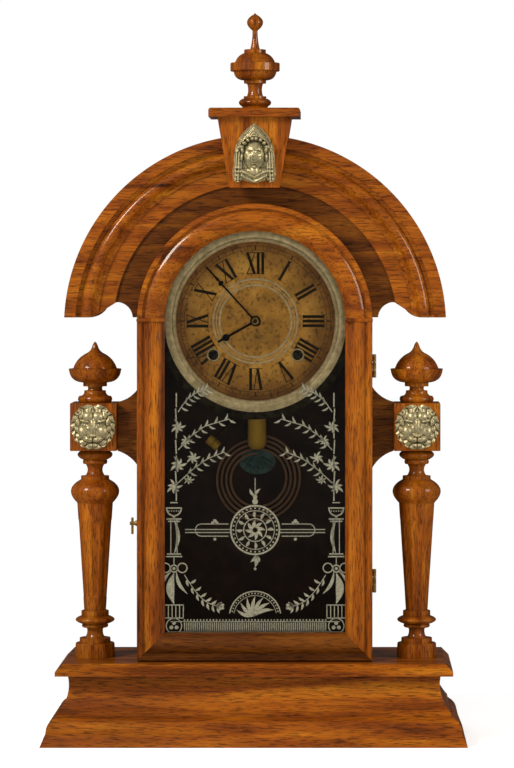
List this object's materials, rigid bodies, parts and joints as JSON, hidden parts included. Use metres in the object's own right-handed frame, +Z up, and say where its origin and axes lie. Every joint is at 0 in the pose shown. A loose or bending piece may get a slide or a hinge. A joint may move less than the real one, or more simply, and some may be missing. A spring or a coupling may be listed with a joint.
{
  "type": "shelf_clock",
  "caption": "Wooden shelf clock with fluted columns, a half-round pediment, an arched glazed door, a striking movement and a coiled gong",
  "frame": {"origin": "Centre of the footprint of the base's bounding box, on the surface the clock stands on", "axes": "+Z up along the clock's height, -Y towards the front with the dial, +X to the right as seen from the front"},
  "size_m": [0.361, 0.134, 0.6224],
  "materials": {
    "red_wood": "glossy varnished reddish-brown open-grain wood",
    "dark_wood": "dull dark stained wood",
    "mask_brass": "antique brass, olive tarnish in the recesses",
    "brass": "lacquered brass",
    "dark_brass": "dull aged brass",
    "steel": "polished steel",
    "blue_steel": "blued dark steel",
    "spring_steel": "blue-grey tempered spring steel",
    "cast_iron": "dark blue-green cast iron",
    "dial_metal": "aged gold-brown printed dial with mottled spots",
    "bezel_nickel": "tarnished grey nickel with an olive tint",
    "tablet_glass": "clear glass with a silver-grey etched pattern"
  },
  "bodies": {
    "case": {"base_moulding_front": "red_wood", "base_moulding_left": "red_wood", "base_moulding_right": "red_wood", "base_cap_board": "red_wood", "case_side_left": "red_wood", "case_side_right": "red_wood", "case_arch": "red_wood", "bracket_left": "red_wood", "bracket_right": "red_wood", "column_left": "red_wood", "column_right": "red_wood", "column_finial_left": "red_wood", "column_finial_right": "red_wood", "pediment_board": "red_wood", "pediment_moulding": "red_wood", "keystone": "red_wood", "keystone_cap": "red_wood", "crown_finial": "red_wood", "backboard": "dark_wood", "lion_mask_left": "mask_brass", "lion_mask_right": "mask_brass", "crown_mask": "mask_brass", "movement_front_plate": "brass", "movement_back_plate": "brass", "case_hinge_leaves": "brass", "dial_pan": "dark_brass", "mainsprings": "spring_steel", "gong_coil": "spring_steel", "gong_base": "cast_iron", "dial_face": "dial_metal", "dial_bezel": "bezel_nickel"},
    "door": {"door_stile_left": "red_wood", "door_stile_right": "red_wood", "door_rail": "red_wood", "door_arch": "red_wood", "door_glass": "tablet_glass", "glazing_strips": "dark_wood", "door_hinge_leaves": "brass", "latch_keeper": "dark_brass"},
    "latch": {"latch_turn": "dark_brass"},
    "pendulum": {"pendulum_rod": "steel", "pendulum_bob": "brass"},
    "verge_body": {"verge": "steel"},
    "going_winding": {"time_winding_arbor": "steel"},
    "striking_winding": {"strike_winding_arbor": "steel"},
    "going_great": {"time_great_wheel": "brass"},
    "going_second": {"second_wheel": "brass"},
    "going_centre": {"centre_wheel": "brass"},
    "going_third": {"third_wheel": "brass"},
    "going_escape": {"escape_wheel": "brass"},
    "striking_great": {"strike_great_wheel": "brass"},
    "striking_pin": {"pin_wheel": "brass"},
    "striking_warning": {"warning_wheel": "brass"},
    "striking_fly": {"fly": "brass"},
    "minute": {"minute_arbor": "brass", "minute_hand": "blue_steel"},
    "motion": {"minute_wheel": "brass"},
    "hour": {"hour_wheel": "brass", "hour_hand": "blue_steel"},
    "hammer_body": {"hammer": "brass"}
  },
  "joints": [
    {"name": "door_hinge", "type": "hinge", "parent": "case", "child": "door", "pos_m": [0.1022, -0.0181, 0.26], "axis": [0, 0, 1], "range_deg": [0, 75]},
    {"name": "latch", "type": "hinge", "parent": "case", "child": "latch", "pos_m": [-0.1005, -0.005, 0.184], "axis": [1, 0, 0], "range_deg": [0, 90]},
    {"name": "minute_hand_turn", "type": "hinge", "parent": "case", "child": "minute", "pos_m": [0, -0.008, 0.3583], "axis": [0, 1, 0], "continuous": true},
    {"name": "motion_wheel_turn", "type": "hinge", "parent": "case", "child": "motion", "pos_m": [0.009, -0.004, 0.37389], "axis": [0, 1, 0], "continuous": true},
    {"name": "hour_hand_turn", "type": "hinge", "parent": "case", "child": "hour", "pos_m": [0, -0.009, 0.3583], "axis": [0, 1, 0], "continuous": true},
    {"name": "centre_arbor", "type": "hinge", "parent": "case", "child": "going_centre", "pos_m": [0, 0.014, 0.3583], "axis": [0, 1, 0], "continuous": true},
    {"name": "going_great_wheel", "type": "hinge", "parent": "case", "child": "going_great", "pos_m": [0.0363, 0.021, 0.3292], "axis": [0, 1, 0], "continuous": true},
    {"name": "second_arbor", "type": "hinge", "parent": "case", "child": "going_second", "pos_m": [0.0224, 0.015, 0.35847], "axis": [0, 1, 0], "continuous": true},
    {"name": "third_arbor", "type": "hinge", "parent": "case", "child": "going_third", "pos_m": [0.01045, 0.015, 0.37703], "axis": [0, 1, 0], "continuous": true},
    {"name": "escape_arbor", "type": "hinge", "parent": "case", "child": "going_escape", "pos_m": [0, 0.015, 0.3898], "axis": [0, 1, 0], "continuous": true},
    {"name": "pin_wheel_arbor", "type": "hinge", "parent": "case", "child": "striking_pin", "pos_m": [-0.03067, 0.015, 0.36111], "axis": [0, 1, 0], "continuous": true},
    {"name": "striking_great_wheel", "type": "hinge", "parent": "case", "child": "striking_great", "pos_m": [-0.0363, 0.021, 0.3292], "axis": [0, 1, 0], "continuous": true},
    {"name": "warning_arbor", "type": "hinge", "parent": "case", "child": "striking_warning", "pos_m": [-0.02017, 0.015, 0.37929], "axis": [0, 1, 0], "continuous": true},
    {"name": "fly_arbor", "type": "hinge", "parent": "case", "child": "striking_fly", "pos_m": [-0.03059, 0.015, 0.3917], "axis": [0, 1, 0], "continuous": true},
    {"name": "going_winding_square", "type": "hinge", "parent": "case", "child": "going_winding", "pos_m": [0.0363, 0.015, 0.3292], "axis": [0, 1, 0], "continuous": true},
    {"name": "striking_winding_square", "type": "hinge", "parent": "case", "child": "striking_winding", "pos_m": [-0.0363, 0.015, 0.3292], "axis": [0, 1, 0], "continuous": true},
    {"name": "pendulum_swing", "type": "hinge", "parent": "case", "child": "pendulum", "pos_m": [0, 0.0356, 0.4103], "axis": [0, 1, 0], "range_deg": [-4.5, 4.5]},
    {"name": "verge_swing", "type": "hinge", "parent": "case", "child": "verge_body", "pos_m": [0, 0.015, 0.4103], "axis": [0, 1, 0], "range_deg": [-4.5, 4.5]},
    {"name": "hammer_swing", "type": "hinge", "parent": "case", "child": "hammer_body", "pos_m": [0.0115, 0.015, 0.3073], "axis": [0, 1, 0], "range_deg": [-5, 12]}
  ],
  "couplings": [
    {"joint": "motion_wheel_turn", "follows": "minute_hand_turn", "ratio": -0.33333},
    {"joint": "hour_hand_turn", "follows": "minute_hand_turn", "ratio": 0.083333},
    {"joint": "going_great_wheel", "follows": "centre_arbor", "ratio": 0.020833},
    {"joint": "second_arbor", "follows": "centre_arbor", "ratio": -0.16667},
    {"joint": "third_arbor", "follows": "centre_arbor", "ratio": -12},
    {"joint": "escape_arbor", "follows": "centre_arbor", "ratio": 108},
    {"joint": "striking_great_wheel", "follows": "pin_wheel_arbor", "ratio": -0.125},
    {"joint": "warning_arbor", "follows": "pin_wheel_arbor", "ratio": -9},
    {"joint": "fly_arbor", "follows": "pin_wheel_arbor", "ratio": 72},
    {"joint": "verge_swing", "follows": "pendulum_swing", "ratio": 1}
  ]
}
